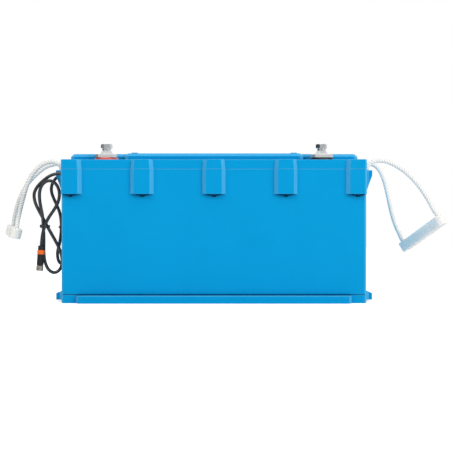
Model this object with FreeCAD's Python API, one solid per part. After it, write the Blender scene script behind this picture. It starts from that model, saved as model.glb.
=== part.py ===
import FreeCAD, Part
import math
import os

Vector = FreeCAD.Vector
os.makedirs("parts", exist_ok=True)

# A battery pack: eight prismatic cells in a moulded case with a screwed lid, two bolted terminals,
# two rope handles and two signal cables. Millimetres, +Z up, +X towards the negative terminal,
# front face towards -Y, origin in the middle of the underside.

# Case
case_length = 476.0
case_depth = 196.0
case_height = 209.0
wall = 4.5
floor_thickness = 5.0
corner_radius = 5.0
fit_gap = 0.4

# Screw bosses on the long sides
boss_pitch = 112.0
boss_base = 36.0
boss_front = 25.0
boss_reach = 8.0
boss_height = 39.0
boss_lean = 1.5
boss_round = 1.2
boss_foot = 3.2
screw_inset = 1.5
screw_cover = 12.0
pocket_radius = 4.0
screw_radius = 2.0
screw_length = 17.0
screw_head_radius = 3.7
screw_head_height = 2.6

# Hold-down ledges round the foot
ledge_length = 430.0
ledge_reach = 10.0
ledge_height = 12.0
ledge_end = 5.0
end_ledge_length = 124.0
end_ledge_reach = 13.7
end_ledge_low = 3.0
end_ledge_top = 13.5
end_ledge_root = 18.7
end_ledge_flare = 8.5
groove_height = 1.5
groove_depth = 1.2
groove_margin = 1.0

# Rope lugs on the end walls
lug_spacing = 104.0
lug_width = 26.0
lug_reach = 13.7
lug_face_height = 8.0
lug_height = 45.0
lug_wall = 3.0
lug_top = 4.0
lug_chamfer = 3.3
lug_flare = 5.0
lug_flare_reach = 8.7
rope_offset = 6.5
rope_radius = 3.4
rope_hole_gap = 0.4
rope_start = 0.7
knot_x = 239.5
knot_radius = 6.2
knot_height = 11.0
knot_gap = 0.3

# Lid
lid_height = 15.0
deck = 4.0
lip_height = 2.5
lip_thickness = 3.0
lid_edge = 1.2
plateau_height = 12.0
plateau_bevel = 4.4
plateau_corner = 6.0
plateau_wall = 4.0
plateau_half_length = 230.5
plateau_front = 52.0
plateau_back = 88.0
centre_half_length = 142.2
centre_front = 68.0
pad_offset = 127.5
pad_size = 10.0
pad_depth = 14.0
pad_height = 1.6

# Lid seal in a groove of the rim
seal_inset = 1.3
seal_width = 1.9
seal_depth = 1.6
seal_gap = 0.1

# Terminals, M10 female
terminal_x = 170.0
terminal_y = -73.0
collar_radius = 18.8
collar_height = 4.0
block_size = 34.0
block_height = 5.3
block_corner = 5.5
cone_base = 11.0
cone_top = 7.0
cone_height = 6.5
stem_radius = 8.0
stem_length = 18.0
bolt_bore = 5.0
thread_gap = 0.06
bore_depth = 26.0
terminal_nut_flats = 26.0
terminal_nut_height = 5.0
bolt_length = 27.0
bolt_flats = 16.0
bolt_head = 6.4
bolt_turn = 9.0
washer_inner = 5.15
washer_section = 2.1
washer_free_height = 3.6

# Cells
cell_count = 8
cell_thickness = 54.0
cell_width = 174.0
cell_height = 166.0
cell_corner = 3.0
separator = 1.0
post_y = 62.0
post_radius = 9.0
post_height = 3.0
stud_radius = 3.0
stud_height = 10.0
vent_radius = 9.0
vent_height = 0.8
pad_under = 3.0
end_plate = 6.0
end_plate_height = 150.0
band_width = 16.0
band_thickness = 0.8
band_levels = (45.0, 135.0)
rib_thickness = 2.5
rib_height = 165.0
rib_gap = 0.3

# Busbars and links
bar_width = 20.0
bar_thickness = 2.5
bar_end = 12.0
nut_flats = 10.0
nut_height = 5.0
link_width = 24.0
link_thickness = 2.5
link_screw_radius = 3.0

# Carrier tray and balancing board
tray_length = 432.0
tray_depth = 160.0
tray_leg = 13.0
tray_thickness = 2.0
tray_leg_radius = 3.0
tray_leg_y = 28.0
board_length = 200.0
board_depth = 70.0
standoff_height = 7.0
board_thickness = 1.6
standoff_radius = 3.5
board_screw_radius = 1.5

# Signal cables and their plugs
cable_radius = 2.45
cable_exit_drop = 6.0
cable_exits = {"front": -76.0, "rear": -28.0}
grommet_flange = 4.8
grommet_reach = 3.0
grommet_neck = 3.15
hole_gap = 0.05
tie_width = 3.6
tie_thickness = 1.1
front_tie_gap = 1.1
rear_tie_gap = 0.9
boot_radius = 4.95
boot_length = 7.2
band_radius = 5.7
band_length = 6.8
grip_radius = 5.3
grip_length = 17.2
nose_radius = 3.9
nose_length = 4.2
nut_outer = 5.45
nut_length = 8.2
nut_clearance = 0.08
insert_radius = 3.2
insert_length = 3.4
pin_radius = 0.5
pin_circle = 1.9

# Hand grips
handle_length = 116.0
handle_width = 20.0
handle_height = 16.5
handle_edge = 2.0
channel_gap = 0.3
rope_lead = 5.0
rope_seat = -1.2
rope_entry = 50.0

# Worked out from the above
half_length = case_length / 2
half_depth = case_depth / 2
lid_top = case_height + lid_height
plateau_top = lid_top + plateau_height
boss_bottom = case_height - boss_height
screw_seat = case_height - screw_cover
lug_face_low = case_height - lug_face_height
lug_root = case_height - lug_height
cable_exit_z = case_height - cable_exit_drop
pitch = cell_thickness + separator
stack_length = cell_count * cell_thickness + (cell_count - 1) * separator
cell_base = floor_thickness + pad_under
cell_top = cell_base + cell_height
bar_level = cell_top + post_height
tray_level = cell_top + tray_leg
board_level = tray_level + standoff_height
boss_centres = [boss_pitch * i for i in (-2, -1, 0, 1, 2)]
cell_centres = [pitch * (i - (cell_count - 1) / 2) for i in range(cell_count)]
screw_y = half_depth + screw_inset
block_level = lid_top + collar_height
cone_level = block_level + block_height
mouth_level = cone_level + cone_height
head_level = mouth_level + washer_free_height
lug_y = lug_spacing / 2
rope_x = half_length + rope_offset
stem_bottom = block_level - stem_length - collar_height

# Routes that the cables take, from the grommet to the plug
front_route = [
    (-241.0, -76.0, 203.0), (-251.5, -76.0, 203.0), (-262.0, -76.0, 198.4), (-273.0, -76.5, 189.4),
    (-280.1, -76.5, 181.4), (-284.4, -78.0, 171.6), (-283.3, -77.0, 159.0), (-278.5, -72.5, 146.4),
    (-272.0, -70.0, 134.0), (-264.6, -71.0, 120.0), (-258.5, -71.0, 109.2), (-252.3, -70.0, 98.1),
    (-246.3, -68.0, 86.2), (-242.3, -66.0, 73.4), (-241.6, -64.0, 61.4), (-244.9, -65.0, 50.6),
    (-253.6, -67.0, 45.1), (-262.6, -69.0, 50.0), (-268.0, -70.5, 61.7), (-269.7, -71.0, 75.1),
    (-269.8, -71.5, 88.6), (-269.4, -73.0, 103.7), (-270.0, -75.0, 120.0), (-270.7, -76.0, 136.1),
    (-273.6, -76.5, 149.5), (-275.6, -78.0, 163.7), (-274.8, -80.5, 177.0), (-269.1, -82.8, 187.8),
    (-259.1, -84.0, 192.6), (-249.3, -83.5, 188.2), (-243.6, -82.5, 177.9), (-243.1, -81.5, 165.3),
    (-247.6, -80.5, 152.7), (-255.1, -79.5, 141.6), (-261.9, -79.8, 131.8), (-266.8, -80.2, 120.0),
    (-270.8, -80.4, 105.5), (-271.9, -80.5, 89.6),
]
rear_route = [
    (-241.0, -28.0, 203.0), (-250.0, -28.0, 203.0), (-258.5, -28.0, 198.5), (-265.0, -27.5, 188.0),
    (-266.0, -27.0, 176.5), (-262.0, -26.0, 165.0), (-257.0, -25.0, 154.0), (-252.5, -24.0, 143.0),
    (-250.5, -23.0, 131.0), (-250.0, -22.0, 118.7), (-250.7, -23.5, 105.0), (-252.5, -25.0, 92.0),
    (-255.5, -25.5, 81.5), (-256.5, -23.5, 71.0), (-255.0, -18.0, 61.0), (-250.5, -9.0, 57.0),
    (-246.0, 0.0, 61.5), (-244.4, 4.5, 72.0), (-244.3, 3.0, 85.0), (-244.2, -4.0, 98.5),
    (-244.1, -13.0, 109.0), (-244.1, -16.8, 118.7), (-244.2, -18.5, 132.0), (-244.0, -18.0, 146.0),
    (-243.9, -17.2, 161.0), (-243.8, -15.5, 175.0), (-243.9, -11.0, 186.0), (-243.9, -2.0, 192.0),
    (-244.0, 8.0, 189.5), (-244.0, 13.5, 179.0), (-244.1, 15.0, 166.0), (-244.2, 15.5, 152.0),
    (-244.5, 15.0, 138.0), (-244.8, 14.5, 125.0), (-245.0, 14.2, 112.0),
]

# Where each hand grip hangs: its middle, its long axis towards the front, and the way its ropes leave
left_grip_place = {"centre": (-332.5, -1.0, 111.0), "along": (0.257, -0.966, -0.043),
                   "up": (0.235, 0.019, 0.971)}
right_grip_place = {"centre": (342.4, -10.5, 108.1), "along": (0.416, -0.805, 0.423),
                    "up": (-0.443, 0.227, 0.867)}

# Free stretches of the ropes between the lug's hole and the grip's mouth
left_front_leg = [
    (-244.5, -52.0, 214.5), (-250.7, -51.4, 221.1), (-260.4, -51.0, 224.2), (-270.0, -50.7, 222.3),
    (-279.6, -50.3, 217.4), (-289.3, -49.9, 207.8), (-297.3, -49.4, 195.7), (-302.9, -48.9, 181.3),
    (-307.3, -48.3, 165.2), (-311.6, -47.8, 149.2), (-315.0, -47.3, 134.2), (-317.2, -47.0, 126.0),
]
left_back_leg = [
    (-244.5, 52.0, 214.5), (-249.5, 51.3, 221.5), (-258.0, 51.0, 225.5), (-268.2, 50.6, 226.5),
    (-278.4, 50.3, 225.0), (-288.7, 49.9, 221.1), (-298.9, 49.4, 213.6), (-309.2, 48.9, 204.0),
    (-319.4, 48.4, 192.5), (-327.0, 47.8, 180.1), (-333.5, 47.2, 164.7), (-338.9, 46.6, 147.6),
    (-342.0, 46.0, 131.0),
]
right_front_leg = [
    (244.5, -52.0, 214.5), (248.8, -51.4, 220.2), (258.4, -51.0, 224.8), (269.5, -50.7, 225.6),
    (281.1, -50.3, 222.9), (294.9, -49.7, 216.0), (310.9, -49.1, 204.6), (324.6, -48.4, 190.8),
    (336.1, -47.7, 175.8), (346.0, -47.1, 159.8), (353.8, -46.5, 144.6),
]
right_back_leg = [
    (244.5, 52.0, 214.5), (251.0, 49.5, 222.6), (261.6, 48.2, 226.0), (270.9, 47.0, 225.0),
    (278.4, 45.8, 218.5), (283.9, 44.4, 208.3), (288.5, 42.7, 195.4), (292.8, 40.4, 176.6),
    (296.6, 38.1, 156.7), (300.8, 35.8, 136.5), (306.6, 33.8, 118.5), (313.0, 32.4, 104.5),
]

# Leads inside the case, from the board to the grommets
lead_end = -half_length + wall
inner_routes = {
    "front": [(-103.0, -24.0, 198.5), (-150.0, -30.0, 199.5), (-192.0, -50.0, 203.0),
              (-219.0, -76.0, 203.0), (lead_end, -76.0, 203.0)],
    "rear": [(-103.0, 6.0, 198.5), (-150.0, 0.0, 199.5), (-198.0, -24.0, 202.5),
             (-217.0, -28.0, 203.0), (lead_end, -28.0, 203.0)],
}


def save(shape, name):
    shape.exportStep("parts/" + name + ".step")


def block(x0, x1, y0, y1, z0, z1):
    return Part.makeBox(x1 - x0, y1 - y0, z1 - z0, Vector(x0, y0, z0))


def cylinder(radius, x, y, z0, z1):
    return Part.makeCylinder(radius, z1 - z0, Vector(x, y, z0))


def cross_cylinder(radius, x0, x1, y, z):
    return Part.makeCylinder(radius, x1 - x0, Vector(x0, y, z), Vector(1, 0, 0))


def prism(points, z0, z1):
    corners = [Vector(x, y, z0) for x, y in points]
    return Part.Face(Part.makePolygon(corners + corners[:1])).extrude(Vector(0, 0, z1 - z0))


def end_prism(points, y0, y1):
    corners = [Vector(x, y0, z) for x, z in points]
    return Part.Face(Part.makePolygon(corners + corners[:1])).extrude(Vector(0, y1 - y0, 0))


def side_prism(points, x0, x1):
    corners = [Vector(x0, y, z) for y, z in points]
    return Part.Face(Part.makePolygon(corners + corners[:1])).extrude(Vector(x1 - x0, 0, 0))


def upright_edges(shape):
    return [e for e in shape.Edges if abs(e.Vertexes[0].Z - e.Vertexes[-1].Z) > 0.99 * e.Length > 0]


def rounded_block(length, depth, radius, z0, z1):
    plain = block(-length / 2, length / 2, -depth / 2, depth / 2, z0, z1)
    return plain.makeFillet(radius, upright_edges(plain))


def ring(length, depth, radius, width, z0, z1):
    outer = rounded_block(length, depth, radius, z0, z1)
    inner = rounded_block(length - 2 * width, depth - 2 * width, max(radius - width, 0.6), z0 - 1, z1 + 1)
    return outer.cut(inner)


def revolved(profile, centre=(0, 0)):
    points = [Vector(centre[0] + r, centre[1], z) for r, z in profile]
    face = Part.Face(Part.makePolygon(points + points[:1]))
    return face.revolve(Vector(centre[0], centre[1], 0), Vector(0, 0, 1), 360)


def hexagon(flats, x, y, z0, z1, turn=0.0):
    reach = flats / math.sqrt(3)
    corners = [(x + reach * math.cos(math.radians(60 * i + turn)),
                y + reach * math.sin(math.radians(60 * i + turn))) for i in range(6)]
    return prism(corners, z0, z1)


def both_sides(shape):
    return [shape, shape.mirror(Vector(0, 0, 0), Vector(0, 1, 0))]


def both_ends(shapes):
    return shapes + [s.mirror(Vector(0, 0, 0), Vector(1, 0, 0)) for s in shapes]


def joined(shapes):
    first = shapes[0]
    return first.fuse(shapes[1:]).removeSplitter() if len(shapes) > 1 else first


def group(shapes):
    return Part.makeCompound(shapes)


def smooth_path(points):
    """Straight runs joined by arcs that touch them, each as large as its two runs allow."""
    vectors = [Vector(*p) for p in points]
    edges = []
    radii = []
    start = vectors[0]
    for before, corner, after in zip(vectors, vectors[1:], vectors[2:]):
        arrive = (corner - before).normalize()
        leave = (after - corner).normalize()
        turn = math.acos(max(-1.0, min(1.0, arrive.dot(leave))))
        reach = 0.45 * min((corner - before).Length, (after - corner).Length)
        radius = reach / math.tan(turn / 2)
        first = corner - arrive * reach
        last = corner + leave * reach
        inward = (leave - arrive).normalize()
        middle = corner + inward * (radius / math.cos(turn / 2) - radius)
        edges.append(Part.LineSegment(start, first).toShape())
        edges.append(Part.Arc(first, middle, last).toShape())
        radii.append(radius)
        start = last
    edges.append(Part.LineSegment(start, vectors[-1]).toShape())
    return Part.Wire(edges), radii


def least_gap(wire, radius):
    """Least clear space between stretches of one tube that lie well apart along it."""
    steps = int(wire.Length / 1.5)
    points = wire.discretize(Number=steps)
    apart = int(8 * radius / 1.5) + 1
    least = 1e9
    for i, a in enumerate(points):
        for b in points[i + apart:]:
            least = min(least, a.distanceToPoint(b))
    return least - 2 * radius


def tube(points, radius, name, gap=False):
    wire, radii = smooth_path(points)
    start = Vector(*points[0])
    direction = (Vector(*points[1]) - start).normalize()
    circle = Part.Wire([Part.makeCircle(radius, start, direction)])
    solid = wire.makePipeShell([circle], True, False)
    share = solid.Volume / (math.pi * radius ** 2 * wire.Length)
    note = f", least gap {least_gap(wire, radius):.2f}" if gap else ""
    print(f"{name}: length {wire.Length:.1f}, radii {min(radii):.1f} to {max(radii):.1f}, "
          f"volume over section x length {share:.4f}{note}")
    return solid


def boss_points(centre, base, front, reach):
    return [(centre - base / 2, -half_depth + 2), (centre - base / 2, -half_depth),
            (centre - front / 2, -half_depth - reach), (centre + front / 2, -half_depth - reach),
            (centre + base / 2, -half_depth), (centre + base / 2, -half_depth + 2)]


def boss_limit(z0, z1):
    return rounded_block(case_length, case_depth + 2 * boss_reach, corner_radius, z0, z1)


def front_corners(shape):
    return [e for e in shape.Edges if abs(e.Vertexes[0].Z - e.Vertexes[-1].Z) > 10
            and max(v.Y for v in e.Vertexes) < -half_depth - 1]


def boss_foot_shape(x):
    """Bow-shaped foot under a boss whose face slopes in and down to the wall."""
    half = boss_front / 2
    ends = [Vector(x - half, -half_depth + 1, boss_bottom), Vector(x + half, -half_depth + 1, boss_bottom)]
    bow = Part.Arc(ends[0], Vector(x, -half_depth + 1, boss_bottom - boss_foot), ends[1]).toShape()
    face = Part.Face(Part.Wire([bow, Part.LineSegment(ends[1], ends[0]).toShape()]))
    slope = side_prism([(-half_depth + 1, boss_bottom), (-half_depth - boss_reach, boss_bottom),
                        (-half_depth, boss_bottom - boss_foot), (-half_depth + 1, boss_bottom - boss_foot)],
                       x - half, x + half)
    return face.extrude(Vector(0, -boss_reach - 2, 0)).common(slope)


def case_bosses():
    limit = boss_limit(boss_bottom - boss_foot, case_height)
    made = []
    for x in boss_centres:
        boss = prism(boss_points(x, boss_base, boss_front, boss_reach), boss_bottom, case_height)
        boss = boss.makeFillet(boss_round, front_corners(boss)).fuse(boss_foot_shape(x))
        made += [side.common(limit) for side in both_sides(boss)]
    return made


def lid_bosses():
    made = []
    for x in boss_centres:
        low = [Vector(px, py, case_height) for px, py in boss_points(x, boss_base, boss_front, boss_reach)]
        high = [Vector(px, py, lid_top) for px, py in boss_points(
            x, boss_base - 2 * boss_lean, boss_front - 2 * boss_lean, boss_reach - boss_lean / 2)]
        wires = [Part.makePolygon(p + p[:1]) for p in (low, high)]
        loft = Part.makeLoft(wires, True, True)
        loft = loft.makeFillet(boss_round, front_corners(loft))
        front = [e for e in loft.Edges if all(abs(v.Z - lid_top) < 0.01 for v in e.Vertexes)
                 and min(v.Y for v in e.Vertexes) < -half_depth - 1]
        loft = loft.makeFillet(lid_edge, front)
        made += [side.common(boss_limit(case_height, lid_top)) for side in both_sides(loft)]
    return made


def long_ledges():
    half = ledge_length / 2
    plan = [(-half, -half_depth + 2), (-half, -half_depth), (-half + ledge_end, -half_depth - ledge_reach),
            (half - ledge_end, -half_depth - ledge_reach), (half, -half_depth), (half, -half_depth + 2)]
    ledge = prism(plan, 0, ledge_height)
    outer = [e for e in ledge.Edges
             if e.Length > ledge_length - 3 * ledge_end and e.Vertexes[0].Y < -half_depth - 1]
    ledge = ledge.makeChamfer(0.8, [e for e in outer if e.Vertexes[0].Z > 1])
    return both_sides(ledge)


def end_ledges():
    half = end_ledge_length / 2
    outer = half_length + end_ledge_reach
    wide = half + end_ledge_flare
    plan = [(half_length - 2, -wide), (half_length, -wide), (half_length + end_ledge_flare, -half),
            (outer, -half), (outer, half), (half_length + end_ledge_flare, half), (half_length, wide),
            (half_length - 2, wide)]
    profile = [(half_length - 2, end_ledge_low), (outer, end_ledge_low), (outer, end_ledge_top),
               (half_length, end_ledge_root), (half_length - 2, end_ledge_root)]
    solid = prism(plan, 0, end_ledge_root + 1).common(end_prism(profile, -half - 10, half + 10))
    return both_ends([solid])


def lug_shape(skin, inner_x, top):
    half = lug_width / 2 - skin
    outer = half_length + lug_reach - skin
    flare = lug_chamfer
    plan = [(inner_x, -half - lug_flare), (half_length, -half - lug_flare),
            (half_length + lug_flare_reach - skin, -half), (outer, -half), (outer, half),
            (half_length + flare, half), (half_length, half + flare), (inner_x, half + flare)]
    slope = (lug_face_low - lug_root) / lug_reach
    drop = skin * math.hypot(1, slope)
    profile = [(inner_x, lug_root + drop), (half_length, lug_root + drop),
               (outer, lug_root + drop + slope * (outer - half_length)), (outer, top), (inner_x, top)]
    solid = prism(plan, lug_root - 1, top).common(end_prism(profile, -2 * half - 10, 2 * half + 10))
    return solid


def four_lugs(skin, inner_x, top):
    solid = lug_shape(skin, inner_x, top)
    solid.translate(Vector(0, -lug_y, 0))
    return both_ends(both_sides(solid))


def make_case():
    body = rounded_block(case_length, case_depth, corner_radius, 0, case_height)
    outside = case_bosses() + long_ledges() + end_ledges() + four_lugs(0, half_length - 2, case_height)
    body = body.fuse(outside).removeSplitter()
    inner_length = case_length - 2 * wall
    inner_depth = case_depth - 2 * wall
    body = body.cut(rounded_block(inner_length, inner_depth, corner_radius - 2,
                                  floor_thickness, case_height + 1))
    ribs = []
    rib_tip = cell_width / 2 + band_thickness + rib_gap
    for x in (-3 * pitch, -pitch, pitch, 3 * pitch):
        rib = block(x - rib_thickness / 2, x + rib_thickness / 2, -inner_depth / 2 - 1, -rib_tip,
                    floor_thickness - 1, rib_height)
        ribs += both_sides(rib)
    end_tip = stack_length / 2 + end_plate + band_thickness + rib_gap
    for y in (-15, 15):
        rib = block(end_tip, inner_length / 2 + 1, y - rib_thickness / 2, y + rib_thickness / 2,
                    floor_thickness - 1, rib_height)
        ribs += both_ends([rib])
    body = body.fuse(ribs).removeSplitter()
    cuts = four_lugs(lug_wall, inner_length / 2 - 1, case_height - lug_top)
    for x in boss_centres:
        pocket = cylinder(pocket_radius, x, -screw_y, boss_bottom - boss_foot - 1, screw_seat)
        way = cylinder(screw_radius + hole_gap * 3, x, -screw_y, screw_seat - 1, case_height + 1)
        cuts += both_sides(pocket.fuse(way))
    groove = block(-half_length + groove_margin, half_length - groove_margin, -half_depth - 1,
                   -half_depth + groove_depth, ledge_height + 0.6, ledge_height + 0.6 + groove_height)
    cuts += both_sides(groove)
    for y in cable_exits.values():
        cuts.append(cross_cylinder(grommet_neck + hole_gap, -half_length - 1, -half_length + wall + 1,
                                   y, cable_exit_z))
    rope_hole = cylinder(rope_radius + rope_hole_gap, rope_x, -lug_y, case_height - lug_top - 1,
                         case_height + 1)
    cuts += both_ends(both_sides(rope_hole))
    cuts.append(ring(case_length - 2 * seal_inset, case_depth - 2 * seal_inset, corner_radius - seal_inset,
                     seal_width + 2 * seal_gap, case_height - seal_depth, case_height + 1))
    return body.cut(cuts)


def plateau_points(inset):
    a = plateau_half_length - inset
    b = centre_half_length - inset
    front = -plateau_front + inset
    nose = -centre_front + inset
    back = plateau_back - inset
    cut = plateau_corner - 0.586 * inset
    return [(-a + cut, front), (-b, front), (-b, nose + cut), (-b + cut, nose), (b - cut, nose),
            (b, nose + cut), (b, front), (a - cut, front), (a, front + cut), (a, back - cut),
            (a - cut, back), (-a + cut, back), (-a, back - cut), (-a, front + cut)]


def plateau_wire(inset, level):
    corners = [Vector(x, y, level) for x, y in plateau_points(inset)]
    return Part.makePolygon(corners + corners[:1])


def make_lid():
    skirt = rounded_block(case_length, case_depth, corner_radius, case_height, lid_top)
    rim = [e for e in skirt.Edges if all(abs(v.Z - lid_top) < 0.01 for v in e.Vertexes)]
    body = skirt.makeFillet(lid_edge, rim).fuse(lid_bosses()).removeSplitter()
    shoulder = plateau_top - plateau_bevel
    plateau = prism(plateau_points(0), lid_top - 1, shoulder)
    plateau = plateau.fuse(Part.makeLoft([plateau_wire(0, shoulder), plateau_wire(plateau_bevel, plateau_top)],
                                         True, True))
    pads = []
    for x in (-pad_offset, pad_offset):
        pad = block(x - pad_size / 2, x + pad_size / 2, -centre_front + 12, -centre_front + 12 + pad_depth,
                    plateau_top - 1, plateau_top + pad_height)
        pads.append(pad.makeFillet(2, upright_edges(pad)))
    body = body.fuse([plateau] + pads).removeSplitter()
    inner_length = case_length - 2 * wall
    inner_depth = case_depth - 2 * wall
    body = body.cut(rounded_block(inner_length, inner_depth, corner_radius - 2, case_height - 1,
                                  lid_top - deck))
    body = body.cut(prism(plateau_points(plateau_wall), lid_top - deck - 1, plateau_top - plateau_wall))
    lip = ring(inner_length - 2 * fit_gap, inner_depth - 2 * fit_gap, corner_radius - 2 - fit_gap / 2,
               lip_thickness, case_height - lip_height, lid_top - deck + 1)
    corner_join = ring(inner_length + 2, inner_depth + 2, corner_radius - 1, 3, case_height + 1,
                       lid_top - deck + 1)
    body = body.fuse([lip, corner_join]).removeSplitter()
    cuts = []
    for y in cable_exits.values():
        cuts.append(cross_cylinder(grommet_flange + 1, -half_length + wall + 0.1, -half_length + wall + 8,
                                   y, cable_exit_z))
    for x in boss_centres:
        pilot = cylinder(screw_radius + hole_gap, x, -screw_y, case_height - 1, screw_seat + screw_length + 1)
        cuts += both_sides(pilot)
    for x in (-terminal_x, terminal_x):
        cuts.append(cylinder(stem_radius + hole_gap * 4, x, terminal_y, case_height, lid_top + 1))
    return body.cut(cuts)


def make_seal():
    inset = seal_inset + seal_gap
    return ring(case_length - 2 * inset, case_depth - 2 * inset, corner_radius - inset, seal_width,
                case_height - seal_depth, case_height)


def make_lid_screws():
    profile = [(0, screw_seat - screw_head_height), (screw_head_radius - 1, screw_seat - screw_head_height),
               (screw_head_radius, screw_seat), (screw_radius, screw_seat),
               (screw_radius, screw_seat + screw_length), (0, screw_seat + screw_length)]
    screws = []
    for x in boss_centres:
        screws += both_sides(revolved(profile, (x, -screw_y)))
    return group(screws)


def make_collar(x):
    inner = stem_radius + hole_gap
    profile = [(inner, lid_top), (collar_radius, lid_top), (collar_radius, lid_top + collar_height - 1.5),
               (collar_radius - 1.5, lid_top + collar_height), (inner, lid_top + collar_height)]
    return revolved(profile, (x, terminal_y))


def make_terminal(x):
    half = block_size / 2
    cut = half - block_corner
    plan = [(-half, -cut), (-cut, -half), (cut, -half), (half, -cut), (half, cut), (cut, half),
            (-cut, half), (-half, cut)]
    plate = prism([(x + px, terminal_y + py) for px, py in plan], block_level, cone_level)
    plate = plate.makeChamfer(0.6, [e for e in plate.Edges
                                    if all(abs(v.Z - cone_level) < 0.01 for v in e.Vertexes)])
    cone = revolved([(0, cone_level - 1), (cone_base, cone_level - 1), (cone_base, cone_level),
                     (cone_top, mouth_level - 0.4), (cone_top - 0.4, mouth_level), (0, mouth_level)],
                    (x, terminal_y))
    stem = cylinder(stem_radius, x, terminal_y, stem_bottom, block_level + 1)
    solid = joined([plate, cone, stem])
    bore = revolved([(0, mouth_level - bore_depth - 2), (bolt_bore, mouth_level - bore_depth),
                     (bolt_bore, mouth_level - 0.6), (bolt_bore + 0.7, mouth_level + 0.1),
                     (0, mouth_level + 0.1)], (x, terminal_y))
    lower = cylinder(link_screw_radius + hole_gap, x, terminal_y, stem_bottom - 1, stem_bottom + 5)
    return solid.cut([bore, lower])


def make_terminal_nuts():
    nuts = []
    for x in (-terminal_x, terminal_x):
        nut = hexagon(terminal_nut_flats, x, terminal_y, lid_top - deck - terminal_nut_height,
                      lid_top - deck, 30)
        nuts.append(nut.cut(cylinder(stem_radius + hole_gap, x, terminal_y, 0, lid_top)))
    return group(nuts)


def make_bolt(x):
    top = head_level + bolt_head
    reach = bolt_flats / math.sqrt(3)
    head = hexagon(bolt_flats, x, terminal_y, head_level, top, bolt_turn)
    crown = revolved([(0, head_level - 1), (reach + 1, head_level - 1), (reach + 1, top - 1.6),
                      (bolt_flats / 2 - 0.4, top), (0, top)], (x, terminal_y))
    face = cylinder(bolt_flats / 2 - 0.6, x, terminal_y, head_level - 0.3, head_level + 1)
    radius = bolt_bore - thread_gap
    shank = revolved([(0, head_level - bolt_length), (radius - 1, head_level - bolt_length),
                      (radius, head_level - bolt_length + 1), (radius, head_level + 1),
                      (0, head_level + 1)], (x, terminal_y))
    return joined([head.common(crown), face, shank])


def make_spring_washer(x):
    """One open turn of square wire that climbs a little, as a split lock washer does when slack."""
    rise = washer_free_height - 0.3 - washer_section
    radius = washer_inner + washer_section / 2
    helix = Part.makeHelix(rise * 360 / 340, rise, radius)
    low = washer_inner
    high = washer_inner + washer_section
    corners = [Vector(low, 0, 0), Vector(high, 0, 0), Vector(high, 0, washer_section),
               Vector(low, 0, washer_section)]
    section = Part.makePolygon(corners + corners[:1])
    solid = Part.Wire(helix.Edges).makePipeShell([section], True, True)
    solid.rotate(Vector(0, 0, 0), Vector(0, 0, 1), 100)
    solid.translate(Vector(x, terminal_y, mouth_level))
    return solid


def make_cell(x):
    body = block(x - cell_thickness / 2, x + cell_thickness / 2, -cell_width / 2, cell_width / 2,
                 cell_base, cell_top)
    body = body.makeFillet(cell_corner, upright_edges(body))
    extras = [cylinder(vent_radius, x, 0, cell_top - 1, cell_top + vent_height)]
    for y in (-post_y, post_y):
        extras.append(cylinder(post_radius, x, y, cell_top - 1, bar_level))
        extras.append(cylinder(stud_radius, x, y, bar_level - 1, bar_level + stud_height))
    return body.fuse(extras).removeSplitter()


def make_separators():
    sheets = []
    for i in range(cell_count - 1):
        x = cell_centres[i] + cell_thickness / 2
        sheets.append(block(x, x + separator, -cell_width / 2 + 3, cell_width / 2 - 3, cell_base,
                            cell_top - 4))
    return group(sheets)


def make_end_plates():
    x = stack_length / 2
    plate = block(x, x + end_plate, -cell_width / 2, cell_width / 2, cell_base, cell_base + end_plate_height)
    plate = plate.makeFillet(cell_corner, [e for e in upright_edges(plate) if e.Vertexes[0].X > x + 1])
    for y in (-45, 0, 45):
        window = block(x + end_plate - 3, x + end_plate + 1, y - 16, y + 16, 70, 125)
        plate = plate.cut(window)
    return group(both_ends([plate]))


def make_bands():
    length = stack_length + 2 * end_plate
    bands = []
    for level in band_levels:
        outer = rounded_block(length + 2 * band_thickness, cell_width + 2 * band_thickness,
                              cell_corner + band_thickness, level - band_width / 2, level + band_width / 2)
        inner = rounded_block(length, cell_width, cell_corner, level - band_width, level + band_width)
        bands.append(outer.cut(inner))
    return group(bands)


def make_base_pad():
    return block(-stack_length / 2 - end_plate, stack_length / 2 + end_plate, -cell_width / 2 + 1,
                 cell_width / 2 - 1, floor_thickness, cell_base)


def bar(cells, side):
    y = side * post_y
    first = cell_centres[cells[0]]
    last = cell_centres[cells[-1]]
    plate = block(first - bar_end, last + bar_end, y - bar_width / 2, y + bar_width / 2, bar_level,
                  bar_level + bar_thickness)
    plate = plate.makeFillet(4, upright_edges(plate))
    holes = [cylinder(stud_radius + 0.2, cell_centres[i], y, 0, case_height) for i in cells]
    return plate.cut(holes)


def make_busbars():
    return group([bar((0, 1), -1), bar((0, 1, 2, 3), 1), bar((2, 3, 4, 5), -1), bar((4, 5, 6, 7), 1),
                  bar((6, 7), -1)])


def make_busbar_nuts():
    level = bar_level + bar_thickness
    nuts = []
    for x in cell_centres:
        for y in (-post_y, post_y):
            nut = hexagon(nut_flats, x, y, level, level + nut_height)
            nuts.append(nut.cut(cylinder(stud_radius + hole_gap, x, y, 0, case_height)))
    return group(nuts)


def make_link(side):
    """Strip from the end busbar up to the terminal's stem, bent in a C."""
    low = bar_level + bar_thickness
    high = stem_bottom
    t = link_thickness
    back = -post_y + bar_width / 2
    front = terminal_y - link_width / 2
    profile = [(-post_y - bar_width / 2, low), (back, low), (back, high), (front, high),
               (front, high - t), (back - t, high - t), (back - t, low + t), (-post_y - bar_width / 2, low + t)]
    middle = side * terminal_x
    strip = side_prism(profile, middle - link_width / 2, middle + link_width / 2)
    hole = cylinder(link_screw_radius + 0.2, middle, terminal_y, high - t - 1, high + 1)
    return strip.cut(hole)


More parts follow.
